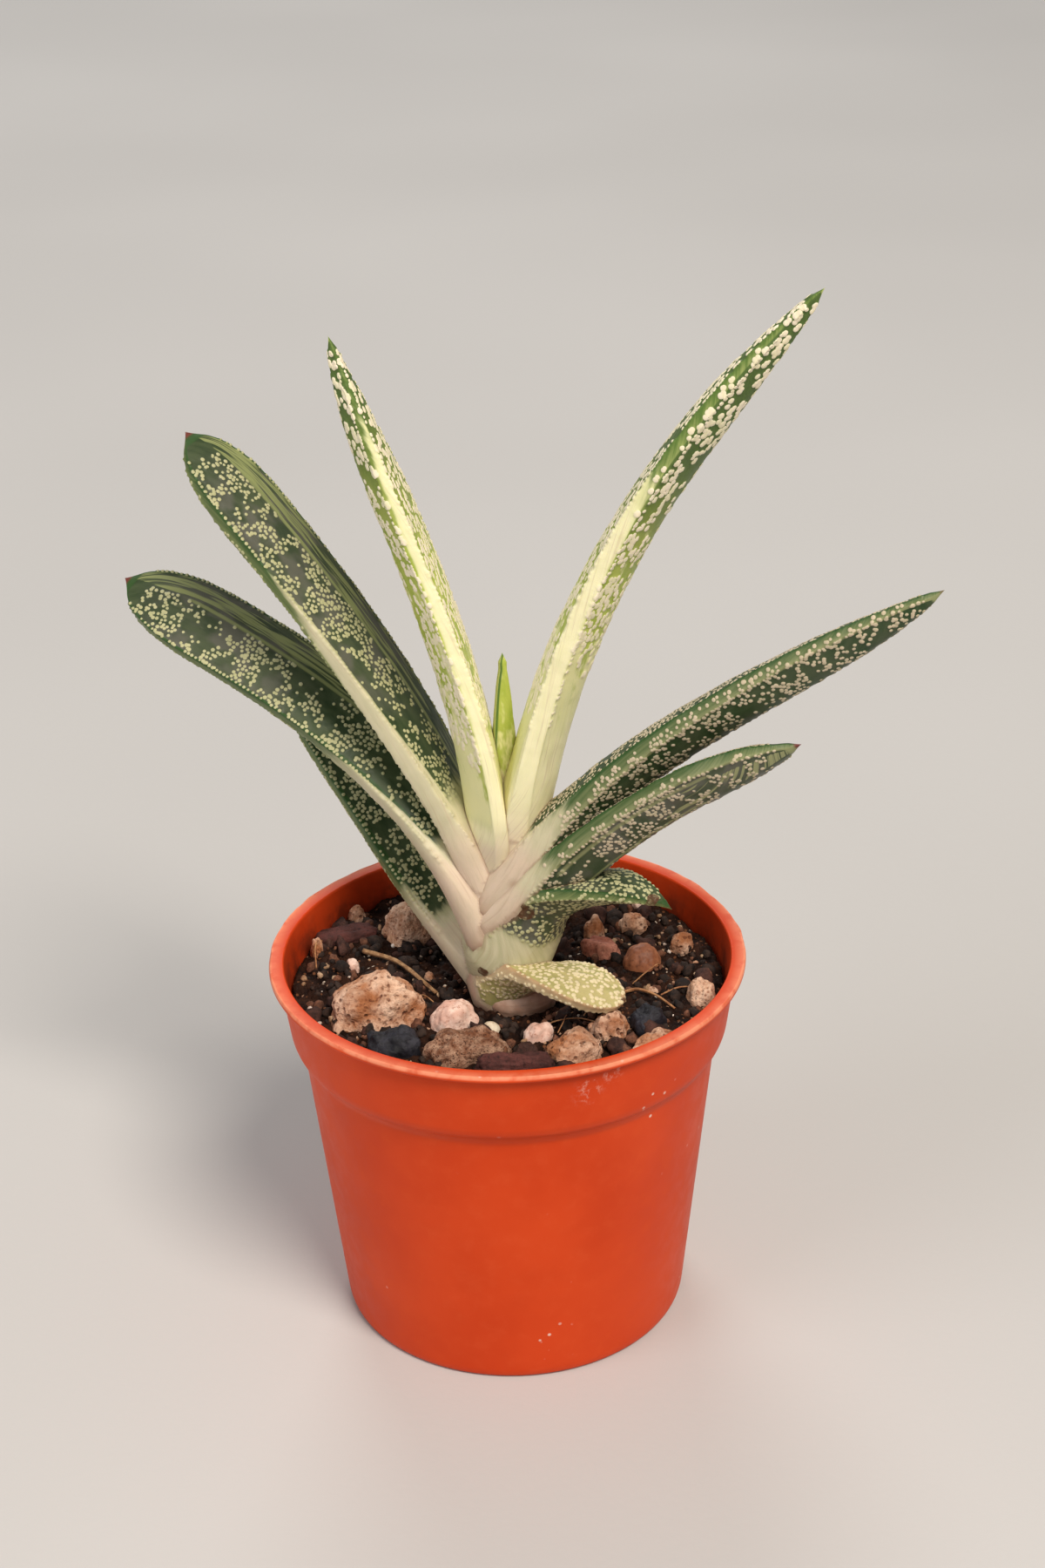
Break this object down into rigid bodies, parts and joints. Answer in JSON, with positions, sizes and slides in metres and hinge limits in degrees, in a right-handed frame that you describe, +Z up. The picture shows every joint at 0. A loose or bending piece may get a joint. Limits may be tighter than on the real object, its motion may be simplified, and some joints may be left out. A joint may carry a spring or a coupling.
{
  "type": "potted succulent plant",
  "caption": "Small two-ranked succulent with thick, pale-warted leaves, rooted in gritty soil in a round stepped nursery pot.",
  "frame": {"origin": "centre of the pot's flat base, on the pot's axis", "axes": "+Z up along the pot's axis, -Y towards the front from which the leaf fan is seen edge on, +X to the right"},
  "size_m": [0.1035, 0.065, 0.15],
  "materials": {
    "terracotta_plastic": "satin, moulded orange-red",
    "potting_soil": "rough, damp",
    "stem_flesh": "satin, living plant tissue",
    "leaf_dark": "satin, living plant tissue with raised pale warts",
    "leaf_light": "satin, living plant tissue with raised pale warts",
    "leaf_old": "satin, ageing plant tissue",
    "pumice_stone": "rough, porous",
    "pale_stone": "rough, porous",
    "charcoal_lump": "dull, blue-black",
    "bark_chip": "rough, dark",
    "brown_stone": "rough",
    "dry_straw": "dry, matt"
  },
  "bodies": {
    "root": {"pot": "terracotta_plastic", "soil": "potting_soil", "stem": "stem_flesh", "leaf_centre": "leaf_light", "leaf_left_1": "leaf_light", "leaf_right_1": "leaf_light", "leaf_left_2": "leaf_dark", "leaf_right_2": "leaf_dark", "leaf_left_3": "leaf_dark", "leaf_right_3": "leaf_dark", "leaf_right_4": "leaf_dark", "leaf_left_4": "leaf_dark", "leaf_right_5": "leaf_old", "pumice_big": "pumice_stone", "pumice_left": "pumice_stone", "pumice_speckled": "pumice_stone", "bark_left": "bark_chip", "perlite": "pale_stone", "charcoal_left": "charcoal_lump", "bark_front": "bark_chip", "bead": "pale_stone", "pumice_front": "pumice_stone", "pumice_ridge": "pumice_stone", "charcoal_right": "charcoal_lump", "pumice_slab": "pumice_stone", "pebble_brown": "brown_stone", "wedge_red": "brown_stone", "pumice_right": "pumice_stone", "straw": "dry_straw", "root_right": "dry_straw"}
  },
  "joints": []
}
